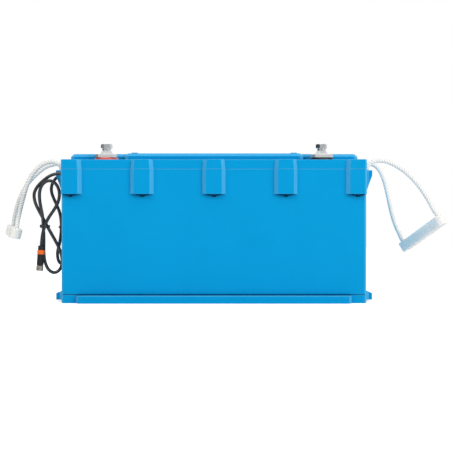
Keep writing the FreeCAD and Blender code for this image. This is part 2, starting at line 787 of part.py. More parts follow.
def make_link_screws():
    screws = []
    for side in (-1, 1):
        x = side * terminal_x
        level = stem_bottom - link_thickness
        head = hexagon(nut_flats, x, terminal_y, level - 4, level)
        screws.append(joined([head, cylinder(link_screw_radius, x, terminal_y, level - 1, stem_bottom + 4.5)]))
    return group(screws)


def make_tray():
    half_x = tray_length / 2
    half_y = tray_depth / 2
    top = tray_level + tray_thickness
    sheet = block(-half_x, half_x, -half_y, half_y, tray_level, top)
    sheet = sheet.makeFillet(6, upright_edges(sheet))
    legs = []
    for x in (-3 * pitch, -pitch, pitch, 3 * pitch):
        for y in (-tray_leg_y, tray_leg_y):
            legs.append(cylinder(tray_leg_radius, x, y, cell_top, tray_level + 1))
    for x, y in board_corners():
        legs.append(cylinder(standoff_radius, x, y, top - 1, board_level))
    rim = block(-half_x, half_x, -half_y, -half_y + 2, tray_level, top + 5)
    rims = both_sides(rim)
    sheet = sheet.fuse(legs + rims).removeSplitter()
    cuts = []
    for side in (-1, 1):
        x = side * terminal_x
        cuts.append(block(x - link_width / 2 - 3, x + link_width / 2 + 3, -half_y - 1, -post_y + 15,
                          tray_level - 1, top + 6))
    for x in cell_centres:
        cuts.append(cylinder(vent_radius + 2, x, 0, tray_level - 1, top + 1) if abs(x) > board_length / 2 + 12
                    else cylinder(4, x, 0, tray_level - 1, top + 1))
    for x, y in board_corners():
        cuts.append(cylinder(board_screw_radius + hole_gap, x, y, tray_level + 1, board_level + 1))
    return sheet.cut(cuts)


def board_corners():
    x = board_length / 2 - 6
    y = board_depth / 2 - 6
    return [(-x, -y), (x, -y), (x, y), (-x, y)]


def make_board():
    sheet = block(-board_length / 2, board_length / 2, -board_depth / 2, board_depth / 2, board_level,
                  board_level + board_thickness)
    sheet = sheet.makeFillet(3, upright_edges(sheet))
    return sheet.cut([cylinder(board_screw_radius + 0.2, x, y, 0, case_height) for x, y in board_corners()])


def make_board_screws():
    level = board_level + board_thickness
    screws = []
    for x, y in board_corners():
        screws.append(revolved([(0, tray_level + 1.2), (board_screw_radius, tray_level + 1.2),
                                (board_screw_radius, level), (2.8, level), (2.8, level + 1.2),
                                (2, level + 2), (0, level + 2)], (x, y)))
    return group(screws)


def make_board_parts():
    level = board_level + board_thickness
    parts = [block(-98, -80, -22, -10, level, level + 6), block(-98, -80, 0, 12, level, level + 6)]
    for i in range(4):
        x = -50 + 34 * i
        parts.append(block(x, x + 22, -26, -8, level, level + 4))
        parts.append(cylinder(5, x + 11, 18, level, level + 11))
    for x in (-66, 84):
        parts.append(block(x, x + 9, -4, 14, level, level + 3))
    return group(parts)


def make_grommet(y):
    profile = [(0, 0), (grommet_flange - 0.8, 0), (grommet_flange, 0.8), (grommet_flange, grommet_reach),
               (grommet_neck, grommet_reach), (grommet_neck, grommet_reach + wall), (0, grommet_reach + wall)]
    solid = revolved(profile)
    solid.rotate(Vector(0, 0, 0), Vector(0, 1, 0), 90)
    solid.translate(Vector(-half_length - grommet_reach, y, cable_exit_z))
    return solid


def placed(shape, origin, direction):
    """Turns a shape built along +Z so that it runs from origin along direction."""
    turn = FreeCAD.Rotation(Vector(0, 0, 1), direction)
    moved = shape.copy()
    moved.Placement = FreeCAD.Placement(origin, turn)
    return moved


def ring_solid(outer, inner, z0, z1, edge):
    return revolved([(inner, z0), (outer - edge, z0), (outer, z0 + edge), (outer, z1 - edge),
                     (outer - edge, z1), (inner, z1)])


def make_plug(route, name, pins):
    start = Vector(*route[-1])
    direction = (start - Vector(*route[-2])).normalize()
    band_start = boot_length
    grip_start = band_start + band_length
    nose_start = grip_start + grip_length
    core = band_radius - 0.9
    body = revolved([(0, 0), (boot_radius - 1.6, 0), (boot_radius, 1.2), (boot_radius, band_start),
                     (core, band_start), (core, grip_start), (grip_radius, grip_start),
                     (grip_radius, nose_start - 0.6), (grip_radius - 0.6, nose_start),
                     (nose_radius, nose_start), (nose_radius, nose_start + nose_length),
                     (insert_radius, nose_start + nose_length), (0, nose_start + nose_length)])
    flutes = []
    for i in range(10):
        angle = math.radians(36 * i)
        flutes.append(cylinder(0.7, (grip_radius + 0.25) * math.cos(angle),
                               (grip_radius + 0.25) * math.sin(angle), grip_start + 2, nose_start - 2))
    body = body.cut(flutes)
    band = ring_solid(band_radius, core, band_start, grip_start, 0.5)
    nut_start = nose_start + 0.4
    nut = ring_solid(nut_outer, nose_radius + nut_clearance, nut_start, nut_start + nut_length, 0.5)
    ridges = []
    for i in range(18):
        angle = math.radians(20 * i)
        ridges.append(cylinder(0.45, (nut_outer + 0.1) * math.cos(angle), (nut_outer + 0.1) * math.sin(angle),
                               nut_start + 1, nut_start + nut_length - 2))
    nut = nut.cut(ridges)
    level = nose_start + nose_length
    insert = cylinder(insert_radius, 0, 0, level, level + insert_length)
    holes = []
    for i in range(3):
        angle = math.radians(120 * i + 30)
        x = pin_circle * math.cos(angle)
        y = pin_circle * math.sin(angle)
        if pins:
            holes.append(cylinder(pin_radius, x, y, level, level + insert_length + 3))
        else:
            holes.append(cylinder(pin_radius, x, y, level + 1, level + insert_length + 1))
    insert = insert.fuse(holes).removeSplitter() if pins else insert.cut(holes)
    for piece, shape in (("body", body), ("band", band), ("nut", nut), ("contacts", insert)):
        save(placed(shape, start, direction), f"{name}_plug_{piece}")
    print(f"{name} plug: axis from {tuple(round(c, 3) for c in start)} along "
          f"{tuple(round(c, 5) for c in direction)}")


def hull_outline(centres, radius, level):
    """Outline of a strap pulled round some strands: straight stretches and arcs round each strand."""
    n = len(centres)
    edges = []
    tangents = []
    for i in range(n):
        ax, ay = centres[i]
        bx, by = centres[(i + 1) % n]
        length = math.hypot(bx - ax, by - ay)
        nx = (by - ay) / length
        ny = -(bx - ax) / length
        tangents.append((nx, ny))
    for i in range(n):
        cx, cy = centres[i]
        before = tangents[i - 1]
        after = tangents[i]
        mid = (before[0] + after[0], before[1] + after[1])
        size = math.hypot(*mid)
        if size < 1e-6:
            ax, ay = centres[(i + 1) % n]
            mid = (cx - ax, cy - ay)
            size = math.hypot(*mid)
        nx, ny = centres[(i + 1) % n]
        arc = Part.Arc(Vector(cx + before[0] * radius, cy + before[1] * radius, level),
                       Vector(cx + mid[0] / size * radius, cy + mid[1] / size * radius, level),
                       Vector(cx + after[0] * radius, cy + after[1] * radius, level))
        edges.append(arc.toShape())
        edges.append(Part.LineSegment(Vector(cx + after[0] * radius, cy + after[1] * radius, level),
                                      Vector(nx + after[0] * radius, ny + after[1] * radius, level)).toShape())
    return Part.Face(Part.Wire(edges))


def make_tie(centres, gap, z, head, tail):
    inner = cable_radius + gap
    outer = inner + tie_thickness
    low = z - tie_width / 2
    strap = hull_outline(centres, outer, low).extrude(Vector(0, 0, tie_width))
    hole = hull_outline(centres, inner, low - 1).extrude(Vector(0, 0, tie_width + 2))
    x, y = head
    lock = block(x - 2.4, x + 2.4, y - 3.2, y, z - 2.6, z + 2.6)
    strip = block(x + min(0, tail), x + max(0, tail), y - 2.2, y - 1.0, z - 1.6, z + 1.6)
    return strap.fuse([lock, strip]).removeSplitter().cut(hole)


def grip_frame(place):
    along = Vector(*place["along"]).normalize()
    up = Vector(*place["up"])
    up = (up - along * up.dot(along)).normalize()
    across = up.cross(along)
    return Vector(*place["centre"]), along, across, up


def make_grip(place):
    """Moulded bar with round ends. The rope goes in at the top, along inside and out again at the top."""
    centre, along, across, up = grip_frame(place)
    half = handle_height / 2
    bar_shape = rounded_block(handle_length, handle_width, handle_width / 2 - 0.01, -half, half)
    rims = [e for e in bar_shape.Edges if all(abs(abs(v.Z) - half) < 0.01 for v in e.Vertexes)]
    bar_shape = bar_shape.makeFillet(handle_edge, rims)
    low = rope_seat - channel_gap
    high = half + rope_lead - channel_gap
    path, radii = smooth_path([(rope_entry, 0, high), (rope_entry, 0, low), (-rope_entry, 0, low),
                               (-rope_entry, 0, high)])
    mouth = Part.makeCircle(rope_radius + channel_gap, Vector(rope_entry, 0, high), Vector(0, 0, 1))
    bar_shape = bar_shape.cut(path.makePipeShell([Part.Wire([mouth])], True, False))
    turn = FreeCAD.Matrix(along.x, across.x, up.x, centre.x, along.y, across.y, up.y, centre.y,
                          along.z, across.z, up.z, centre.z, 0, 0, 0, 1)
    bar_shape.Placement = FreeCAD.Placement(turn)
    return bar_shape


def make_rope(place, front_leg, back_leg, name):
    centre, along, across, up = grip_frame(place)
    side = 1 if centre.x > 0 else -1
    inside = case_height - lug_top - rope_start
    seat = up * rope_seat
    mouth = up * (handle_height / 2 + rope_lead)
    route = [(side * rope_x, -lug_y, inside)] + front_leg
    for point in (centre + along * rope_entry + mouth, centre + along * rope_entry + seat,
                  centre - along * rope_entry + seat, centre - along * rope_entry + mouth):
        route.append(tuple(point))
    route += back_leg[::-1] + [(side * rope_x, lug_y, inside)]
    return tube(route, rope_radius, name)


def make_knots(side):
    level = case_height - lug_top - rope_start - knot_gap - knot_height
    profile = [(0, level), (knot_radius - 3.8, level), (knot_radius, level + 5),
               (knot_radius, level + knot_height - 2.5), (knot_radius - 2, level + knot_height),
               (0, level + knot_height)]
    return group(both_sides(revolved(profile, (side * knot_x, -lug_y))))


save(make_case(), "case")
save(make_lid(), "lid")
save(make_seal(), "lid_seal")
save(make_lid_screws(), "lid_screws")
save(make_base_pad(), "base_pad")
for number, place_x in enumerate(cell_centres, 1):
    save(make_cell(place_x), f"cell_{number}")
save(make_separators(), "cell_separators")
save(make_end_plates(), "end_plates")
save(make_bands(), "compression_bands")
save(make_busbars(), "busbars")
save(make_busbar_nuts(), "busbar_nuts")
save(make_link(-1), "positive_link")
save(make_link(1), "negative_link")
save(make_link_screws(), "link_screws")
save(make_tray(), "carrier_tray")
save(make_board(), "balancing_board")
save(make_board_screws(), "board_screws")
save(make_board_parts(), "board_parts")
save(make_terminal_nuts(), "terminal_nuts")
for label, place_x in (("positive", -terminal_x), ("negative", terminal_x)):
    save(make_collar(place_x), label + "_collar")
    save(make_terminal(place_x), label + "_terminal")
    save(make_spring_washer(place_x), label + "_spring_washer")
    save(make_bolt(place_x), label + "_bolt")
for label, exit_y in cable_exits.items():
    save(make_grommet(exit_y), label + "_grommet")
save(group([tube(route, cable_radius, label + " inner lead") for label, route in inner_routes.items()]),
     "inner_leads")
save(tube(front_route, cable_radius, "front cable", True), "front_cable")
save(tube(rear_route, cable_radius, "rear cable", True), "rear_cable")
make_plug(front_route, "front", False)
make_plug(rear_route, "rear", True)
save(make_tie([(-264.6, -71.0), (-270.0, -75.0), (-266.8, -80.2)], front_tie_gap, 120.0, (-271.0, -80.4), -3.0),
     "front_cable_tie")
save(make_tie([(-250.0, -22.0), (-244.1, -16.8)], rear_tie_gap, 118.7, (-244.6, -9.7), -3.5),
     "rear_cable_tie")
for label, place, side, front_leg, back_leg in (
        ("left", left_grip_place, -1, left_front_leg, left_back_leg),
        ("right", right_grip_place, 1, right_front_leg, right_back_leg)):
    save(make_grip(place), label + "_grip")
    save(make_rope(place, front_leg, back_leg, label + " rope"), label + "_rope")
    save(make_knots(side), label + "_rope_knots")
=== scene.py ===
import bpy
import math
import numpy as np
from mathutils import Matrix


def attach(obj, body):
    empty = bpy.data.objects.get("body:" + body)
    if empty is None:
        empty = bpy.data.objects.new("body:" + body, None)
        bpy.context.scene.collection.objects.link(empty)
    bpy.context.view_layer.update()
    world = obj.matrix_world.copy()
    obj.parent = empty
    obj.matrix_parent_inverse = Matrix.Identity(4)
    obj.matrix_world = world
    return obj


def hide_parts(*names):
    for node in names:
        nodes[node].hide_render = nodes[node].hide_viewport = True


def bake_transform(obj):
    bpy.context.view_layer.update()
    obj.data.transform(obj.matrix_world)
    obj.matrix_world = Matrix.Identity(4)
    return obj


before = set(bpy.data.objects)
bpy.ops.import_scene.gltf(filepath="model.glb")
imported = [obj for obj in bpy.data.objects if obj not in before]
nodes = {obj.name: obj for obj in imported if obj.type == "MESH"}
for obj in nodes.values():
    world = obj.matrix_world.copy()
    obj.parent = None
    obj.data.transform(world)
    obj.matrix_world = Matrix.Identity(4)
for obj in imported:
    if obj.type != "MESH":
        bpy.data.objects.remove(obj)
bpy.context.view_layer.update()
print("packed model loaded,", len(nodes), "nodes")

# The routes of the cables and ropes in metres, the same points as in the part's source
cableRoutes = {
    "front": [
        (-241.0, -76.0, 203.0), (-251.5, -76.0, 203.0), (-262.0, -76.0, 198.4),
        (-273.0, -76.5, 189.4), (-280.1, -76.5, 181.4), (-284.4, -78.0, 171.6),
        (-283.3, -77.0, 159.0), (-278.5, -72.5, 146.4), (-272.0, -70.0, 134.0),
        (-264.6, -71.0, 120.0), (-258.5, -71.0, 109.2), (-252.3, -70.0, 98.1),
        (-246.3, -68.0, 86.2), (-242.3, -66.0, 73.4), (-241.6, -64.0, 61.4),
        (-244.9, -65.0, 50.6), (-253.6, -67.0, 45.1), (-262.6, -69.0, 50.0),
        (-268.0, -70.5, 61.7), (-269.7, -71.0, 75.1), (-269.8, -71.5, 88.6),
        (-269.4, -73.0, 103.7), (-270.0, -75.0, 120.0), (-270.7, -76.0, 136.1),
        (-273.6, -76.5, 149.5), (-275.6, -78.0, 163.7), (-274.8, -80.5, 177.0),
        (-269.1, -82.8, 187.8), (-259.1, -84.0, 192.6), (-249.3, -83.5, 188.2),
        (-243.6, -82.5, 177.9), (-243.1, -81.5, 165.3), (-247.6, -80.5, 152.7),
        (-255.1, -79.5, 141.6), (-261.9, -79.8, 131.8), (-266.8, -80.2, 120.0),
        (-270.8, -80.4, 105.5), (-271.9, -80.5, 89.6),
    ],
    "rear": [
        (-241.0, -28.0, 203.0), (-250.0, -28.0, 203.0), (-258.5, -28.0, 198.5),
        (-265.0, -27.5, 188.0), (-266.0, -27.0, 176.5), (-262.0, -26.0, 165.0),
        (-257.0, -25.0, 154.0), (-252.5, -24.0, 143.0), (-250.5, -23.0, 131.0),
        (-250.0, -22.0, 118.7), (-250.7, -23.5, 105.0), (-252.5, -25.0, 92.0),
        (-255.5, -25.5, 81.5), (-256.5, -23.5, 71.0), (-255.0, -18.0, 61.0),
        (-250.5, -9.0, 57.0), (-246.0, 0.0, 61.5), (-244.4, 4.5, 72.0), (-244.3, 3.0, 85.0),
        (-244.2, -4.0, 98.5), (-244.1, -13.0, 109.0), (-244.1, -16.8, 118.7),
        (-244.2, -18.5, 132.0), (-244.0, -18.0, 146.0), (-243.9, -17.2, 161.0),
        (-243.8, -15.5, 175.0), (-243.9, -11.0, 186.0), (-243.9, -2.0, 192.0),
        (-244.0, 8.0, 189.5), (-244.0, 13.5, 179.0), (-244.1, 15.0, 166.0),
        (-244.2, 15.5, 152.0), (-244.5, 15.0, 138.0), (-244.8, 14.5, 125.0),
        (-245.0, 14.2, 112.0),
    ],
}
ropeLegs = {
    "left": {
        "front": [
            (-244.5, -52.0, 214.5), (-250.7, -51.4, 221.1), (-260.4, -51.0, 224.2),
            (-270.0, -50.7, 222.3), (-279.6, -50.3, 217.4), (-289.3, -49.9, 207.8),
            (-297.3, -49.4, 195.7), (-302.9, -48.9, 181.3), (-307.3, -48.3, 165.2),
            (-311.6, -47.8, 149.2), (-315.0, -47.3, 134.2), (-317.2, -47.0, 126.0),
        ],
        "back": [
            (-244.5, 52.0, 214.5), (-249.5, 51.3, 221.5), (-258.0, 51.0, 225.5),
            (-268.2, 50.6, 226.5), (-278.4, 50.3, 225.0), (-288.7, 49.9, 221.1),
            (-298.9, 49.4, 213.6), (-309.2, 48.9, 204.0), (-319.4, 48.4, 192.5),
            (-327.0, 47.8, 180.1), (-333.5, 47.2, 164.7), (-338.9, 46.6, 147.6),
            (-342.0, 46.0, 131.0),
        ],
    },
    "right": {
        "front": [
            (244.5, -52.0, 214.5), (248.8, -51.4, 220.2), (258.4, -51.0, 224.8),
            (269.5, -50.7, 225.6), (281.1, -50.3, 222.9), (294.9, -49.7, 216.0),
            (310.9, -49.1, 204.6), (324.6, -48.4, 190.8), (336.1, -47.7, 175.8),
            (346.0, -47.1, 159.8), (353.8, -46.5, 144.6),
        ],
        "back": [
            (244.5, 52.0, 214.5), (251.0, 49.5, 222.6), (261.6, 48.2, 226.0),
            (270.9, 47.0, 225.0), (278.4, 45.8, 218.5), (283.9, 44.4, 208.3),
            (288.5, 42.7, 195.4), (292.8, 40.4, 176.6), (296.6, 38.1, 156.7),
            (300.8, 35.8, 136.5), (306.6, 33.8, 118.5), (313.0, 32.4, 104.5),
        ],
    },
}
grips = {
    "left": {"middle": (-332.5, -1.0, 111.0), "along": (0.257, -0.966, -0.043),
             "up": (0.235, 0.019, 0.971)},
    "right": {"middle": (342.4, -10.5, 108.1), "along": (0.416, -0.805, 0.423),
              "up": (-0.443, 0.227, 0.867)},
}


# Colours are written as sRGB hex and turned to linear here
def linear(hexColour):
    parts = np.array([int(hexColour[i:i + 2], 16) for i in (1, 3, 5)]) / 255
    values = np.where(parts <= 0.04045, parts / 12.92, ((parts + 0.055) / 1.055) ** 2.4)
    return (*(float(v) for v in values), 1.0)


# One node with its settings (attributes or input values) and the sockets linked into it
def addNode(tree, kind, settings=None, links=None):
    node = tree.nodes.new(kind)
    for key, value in (settings or {}).items():
        if isinstance(key, str) and hasattr(node, key):
            setattr(node, key, value)
        else:
            node.inputs[key].default_value = value
    for key, socket in (links or {}).items():
        tree.links.new(socket, node.inputs[key])
    return node


def newMaterial(name, settings):
    material = bpy.data.materials.new(name)
    material.use_nodes = True
    shader = material.node_tree.nodes["Principled BSDF"]
    for key, value in settings.items():
        shader.inputs[key].default_value = value
    return material, material.node_tree, shader


# A noise in real size: grain is the width of one grain in millimetres
def grainNoise(tree, grain, detail, stretch=(1, 1, 1)):
    place = addNode(tree, "ShaderNodeTexCoord")
    turned = addNode(tree, "ShaderNodeMapping", {"Scale": stretch}, {"Vector": place.outputs["Object"]})
    return addNode(tree, "ShaderNodeTexNoise", {"Scale": 1000 / grain, "Detail": detail},
                   {"Vector": turned.outputs["Vector"]}).outputs["Fac"]


def spread(tree, value, low, high, fromLow=0.3, fromHigh=0.7):
    return addNode(tree, "ShaderNodeMapRange", {"From Min": fromLow, "From Max": fromHigh, "To Min": low,
                                                "To Max": high}, {"Value": value}).outputs["Result"]


def blendColour(tree, factor, first, second, start=0.0, end=1.0):
    node = addNode(tree, "ShaderNodeValToRGB", None, {"Fac": factor})
    for element, position, colour in zip(node.color_ramp.elements, (start, end), (first, second)):
        element.position = position
        element.color = linear(colour)
    return node.outputs["Color"]


def bumpFrom(tree, shader, height, distance, edge=0.0):
    links = {"Height": height}
    if edge:
        rounded = addNode(tree, "ShaderNodeBevel", {"samples": 6, "Radius": edge / 1000})
        links["Normal"] = rounded.outputs["Normal"]
    bump = addNode(tree, "ShaderNodeBump", {"Distance": distance / 1000, "Strength": 0.5}, links)
    tree.links.new(bump.outputs["Normal"], shader.inputs["Normal"])


# A moulded plastic: fine spark-eroded grain, a slow drift of colour, uneven gloss
def mouldedPlastic(name, light, dark, rough, ior=1.53, grain=0.7, drift=60, relief=0.03, specular=0.5,
                   edge=0.0):
    material, tree, shader = newMaterial(name, {"IOR": ior, "Specular IOR Level": specular})
    slow = grainNoise(tree, drift, 2.0)
    fine = grainNoise(tree, grain, 2.0)
    tree.links.new(blendColour(tree, slow, dark, light), shader.inputs["Base Color"])
    tree.links.new(spread(tree, slow, rough - 0.04, rough + 0.04), shader.inputs["Roughness"])
    bumpFrom(tree, shader, fine, relief, edge=edge)
    return material


def mixedOver(tree, factor, under, colour):
    mix = addNode(tree, "ShaderNodeMix", {"data_type": "RGBA"})
    tree.links.new(factor, mix.inputs[0])
    tree.links.new(under, mix.inputs[6])
    mix.inputs[7].default_value = linear(colour)
    return mix.outputs[2]


# The blue moulding: the plastic above with a fine witness line along the seam of case and lid, painted shade
# in its corners, on its under faces and in deep holes, painted light on its sides and upper faces, and
# painted highlights along its outer edges
def blueMoulding(name, seamLevel, seamWidth):
    edgeRadius = 0.9
    cornerReach = 13.0
    material = mouldedPlastic(name, "#00a0dc", "#009ad6", 0.4, specular=0.06, grain=0.9, edge=edgeRadius)
    tree = material.node_tree
    shader = tree.nodes["Principled BSDF"]
    place = addNode(tree, "ShaderNodeTexCoord")
    level = addNode(tree, "ShaderNodeSeparateXYZ", None, {"Vector": place.outputs["Object"]})
    away = addNode(tree, "ShaderNodeMath", {"operation": "SUBTRACT", 1: seamLevel / 1000},
                   {0: level.outputs["Z"]})
    near = addNode(tree, "ShaderNodeMath", {"operation": "ABSOLUTE"}, {0: away.outputs["Value"]})
    surface = addNode(tree, "ShaderNodeNewGeometry")
    facing = addNode(tree, "ShaderNodeSeparateXYZ", None, {"Vector": surface.outputs["Normal"]})
    sideways = addNode(tree, "ShaderNodeMath", {"operation": "ABSOLUTE"}, {0: facing.outputs["X"]})
    corner = addNode(tree, "ShaderNodeAmbientOcclusion", {"samples": 8, "only_local": True,
                                                          "Distance": cornerReach / 1000})
    openness = corner.outputs["AO"]
    # Mask for the painted edge highlights: where the bevelled normal parts from the true one, kept off
    # hollow corners
    rounded = addNode(tree, "ShaderNodeBevel", {"samples": 6, "Radius": 0.001})
    agree = addNode(tree, "ShaderNodeVectorMath", {"operation": "DOT_PRODUCT"},
                    {0: rounded.outputs["Normal"], 1: surface.outputs["True Normal"]})
    edge = spread(tree, agree.outputs["Value"], 0.5, 0.0, 0.85, 0.99)
    outer = spread(tree, openness, 0.0, 1.0, 0.84, 0.96)
    paintedEdgeHighlight = addNode(tree, "ShaderNodeMath", {"operation": "MULTIPLY"}, {0: edge, 1: outer})
    # Each layer: what it goes by, its share at two values of that, the two values, its colour
    layers = [
        (near.outputs["Value"], (0.6, 0.0), (0.0, seamWidth / 1000), "#3f86b2"),
        # painted shade in the corners, by ambient occlusion
        (openness, (0.3, 0.0), (0.4, 0.93), "#00529a"),
        # painted light: faces turned sideways made paler
        (sideways.outputs["Value"], (0.0, 0.45), (0.3, 0.7), "#6ecbf4"),
        # painted light: faces turned upward made paler
        (facing.outputs["Z"], (0.0, 0.4), (0.3, 0.8), "#6ecbf4"),
        # painted shade: faces turned downward made nearly black-blue
        (facing.outputs["Z"], (0.9, 0.0), (-0.9, -0.6), "#001c48"),
        # painted highlight along the outer edges
        (paintedEdgeHighlight.outputs["Value"], (0.0, 1.0), (0.0, 1.0), "#7ccbf2"),
        # painted shade in deep holes and pockets
        (openness, (0.95, 0.0), (0.25, 0.6), "#001c48"),
    ]
    colour = shader.inputs["Base Color"].links[0].from_socket
    for value, share, between, tint in layers:
        colour = mixedOver(tree, spread(tree, value, *share, *between), colour, tint)
    tree.links.new(colour, shader.inputs["Base Color"])
    return material


# A plated or rolled metal: fine scratches drawn out one way, cloudy gloss
def worked(name, light, dark, rough, grain, stretch=(1, 1, 1)):
    scratchDepth = 0.01
    cloudWidth = 6
    material, tree, shader = newMaterial(name, {"Metallic": 1.0})
    fine = grainNoise(tree, grain, 3.0, stretch)
    cloud = grainNoise(tree, cloudWidth, 2.0)
    tree.links.new(blendColour(tree, cloud, dark, light), shader.inputs["Base Color"])
    tree.links.new(spread(tree, fine, rough - 0.06, rough + 0.08), shader.inputs["Roughness"])
    bumpFrom(tree, shader, fine, scratchDepth)
    return material


# Light that goes a little way in, as in an unfilled polymer
def milky(material):
    shader = material.node_tree.nodes["Principled BSDF"]
    for key, value in {"Subsurface Weight": 0.5, "Subsurface Radius": (1.0, 1.0, 1.0),
                       "Subsurface Scale": 0.012}.items():
        shader.inputs[key].default_value = value
    return material


materials = {
    # Blue ABS, moulded in a fine-grained tool: saturated, satin, almost no white in its gloss
    "blueAbs": blueMoulding("blueAbs", 209.0, 0.6),
    # Natural polyethylene of the grips: milky, a little see-through at its edges
    "naturalPolyethylene": milky(mouldedPlastic("naturalPolyethylene", "#fffaf1", "#fcf6ec", 0.25, 1.51, 0.8,
                                                30)),
    "redNylon": mouldedPlastic("redNylon", "#f4685a", "#ec5c4f", 0.4),
    "blackNylon": mouldedPlastic("blackNylon", "#2b2b2d", "#202022", 0.42),
    "blackPvc": mouldedPlastic("blackPvc", "#0b0f15", "#070a0f", 0.2, 1.52, 0.5, 12, 0.01, 0.8),
    "blackTpu": mouldedPlastic("blackTpu", "#131316", "#0c0c0f", 0.45, 1.5, 0.5, 12),
    "orangeTpe": mouldedPlastic("orangeTpe", "#ff7414", "#f56a10", 0.45, 1.5, 0.5, 12),
    "blueTpe": mouldedPlastic("blueTpe", "#2f6fc4", "#265fb0", 0.45, 1.5, 0.5, 12),
    "epdmRubber": mouldedPlastic("epdmRubber", "#242424", "#1b1b1b", 0.7, 1.52, 0.4, 10),
    "whitePolypropylene": mouldedPlastic("whitePolypropylene", "#dfe1e0", "#d5d8d7", 0.45, 1.49),
    "closedCellFoam": mouldedPlastic("closedCellFoam", "#3a3c3f", "#303235", 0.85, 1.5, 0.8, 10, 0.2),
    "epoxyGlassBoard": mouldedPlastic("epoxyGlassBoard", "#1f5c34", "#174a29", 0.3, 1.55, 0.6, 20),
    "epoxyParts": mouldedPlastic("epoxyParts", "#26272a", "#1c1d20", 0.45, 1.55, 0.4, 10),
    # Tin plate on copper: soft grey-white metal, a little cloudy
    "tinPlatedCopper": worked("tinPlatedCopper", "#f0f0f0", "#dfe0e1", 0.34, 0.6),
    # Bright zinc plate on steel: cool and glossy with a fine turned grain
    "zincPlatedSteel": worked("zincPlatedSteel", "#e6e8ea", "#cfd3d7", 0.16, 0.35),
    # The lid screws are black: nothing bright shows in their pockets
    "blackZincSteel": worked("blackZincSteel", "#3a3c40", "#2a2c2f", 0.42, 0.35),
    "nickelPlatedBrass": worked("nickelPlatedBrass", "#c4bbac", "#94897a", 0.25, 0.35),
    "rolledAluminium": worked("rolledAluminium", "#dcdee1", "#c9ccd0", 0.36, 0.5, (1, 1, 0.04)),
    "brass": worked("brass", "#d8b878", "#c4a263", 0.3, 0.4),
    "springSteelBand": worked("springSteelBand", "#b9bcc1", "#a3a7ad", 0.32, 0.4, (0.05, 1, 1)),
}


# White laid rope: filaments run along each strand, so the grain follows the mesh's own turns
def ropeMaterial():
    material, tree, shader = newMaterial("laidPolyesterRope", {"IOR": 1.5, "Roughness": 0.72,
                                                               "Sheen Weight": 0.15, "Sheen Roughness": 0.5})
    turns = addNode(tree, "ShaderNodeUVMap", {"uv_map": "turns"})
    fibres = addNode(tree, "ShaderNodeMapping", {"Scale": (90.0, 5.0, 1.0)}, {"Vector": turns.outputs["UV"]})
    grain = addNode(tree, "ShaderNodeTexNoise", {"Scale": 1.0, "Detail": 2.0, "noise_dimensions": "2D"},
                    {"Vector": fibres.outputs["Vector"]}).outputs["Fac"]
    # The grooves between strands are made darker: painted shade, mixed with a little of the filaments' own
    # grain
    groove = addNode(tree, "ShaderNodeAttribute", {"attribute_name": "groove"}).outputs["Fac"]
    shade = addNode(tree, "ShaderNodeMath", {"operation": "MULTIPLY_ADD", 1: 0.12},
                    {0: grain, 2: groove}).outputs["Value"]
    colour = blendColour(tree, shade, "#fbf9f4", "#cfcdc8", 0.3, 0.8)
    tree.links.new(colour, shader.inputs["Base Color"])
    bumpFrom(tree, shader, grain, 0.12)
    return material


materials["laidPolyesterRope"] = ropeMaterial()
print("materials made:", len(materials))


# The smooth line that a cord follows: a NURBS spline of order 3 with the route as control points
def smoothLine(name, route):
    curve = bpy.data.curves.new(name, "CURVE")
    curve.dimensions = "3D"
    spline = curve.splines.new("NURBS")
    spline.points.add(len(route) - 1)
    flat = np.column_stack([np.array(route) / 1000, np.ones(len(route))])
    spline.points.foreach_set("co", flat.astype(np.float32).ravel())
    spline.order_u = 3
    spline.use_endpoint_u = True
    spline.resolution_u = 24
    holder = bpy.data.objects.new(name, curve)
    mesh = bpy.data.meshes.new_from_object(holder)
    points = np.empty(len(mesh.vertices) * 3, np.float32)
    mesh.vertices.foreach_get("co", points)
    bpy.data.objects.remove(holder)
    bpy.data.meshes.remove(mesh)
    bpy.data.curves.remove(curve)
    return points.reshape(-1, 3).astype(float)


# Equal steps along a line, by arc length
def evenSteps(line, step):
    lengths = np.concatenate([[0], np.cumsum(np.linalg.norm(np.diff(line, axis=0), axis=1))])
    keep = np.concatenate([[True], np.diff(lengths) > 1e-9])
    count = int(round(lengths[-1] / step)) + 1
    at = np.linspace(0, lengths[-1], count)
    return np.column_stack([np.interp(at, lengths[keep], line[keep, i]) for i in range(3)]), at


# Two normals at each point that turn with the line as little as they can
def steadyNormals(points):
    tangents = np.gradient(points, axis=0)
    tangents /= np.linalg.norm(tangents, axis=1)[:, None]
    first = np.cross(tangents[0], (0.0, 0.0, 1.0) if abs(tangents[0][2]) < 0.9 else (0.0, 1.0, 0.0))
    normals = [first / np.linalg.norm(first)]
    for tangent in tangents[1:]:
        side = normals[-1] - tangent * normals[-1].dot(tangent)
        normals.append(side / np.linalg.norm(side))
    normals = np.array(normals)
    return normals, np.cross(tangents, normals)


